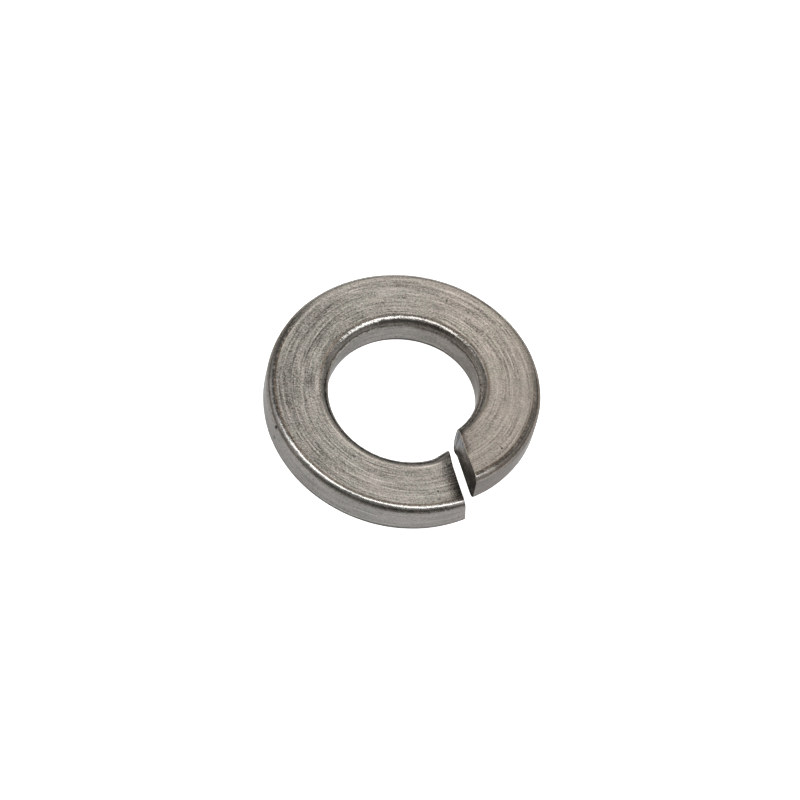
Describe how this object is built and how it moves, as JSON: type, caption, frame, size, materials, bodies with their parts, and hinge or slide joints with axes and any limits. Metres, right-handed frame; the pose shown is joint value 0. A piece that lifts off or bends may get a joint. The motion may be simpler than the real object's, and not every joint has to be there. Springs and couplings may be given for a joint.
{
  "type": "spring lock washer",
  "caption": "Split spring lock washer: a coil of flat-sided steel wire with rounded corners, cut across and twisted open so that its ends stand one above the other.",
  "frame": {"origin": "on the axis of the bore, level with the lowest edge of the lower end", "axes": "+Z along the axis of the bore, towards the upper end of the split; +X to the right of the first view, with the split 43 degrees clockwise of it seen from above"},
  "size_m": [0.012, 0.012, 0.0034],
  "materials": {
    "steel": "satin stainless steel with fine scratches along the coil"
  },
  "bodies": {
    "root": {"lock_washer": "steel"}
  },
  "joints": []
}
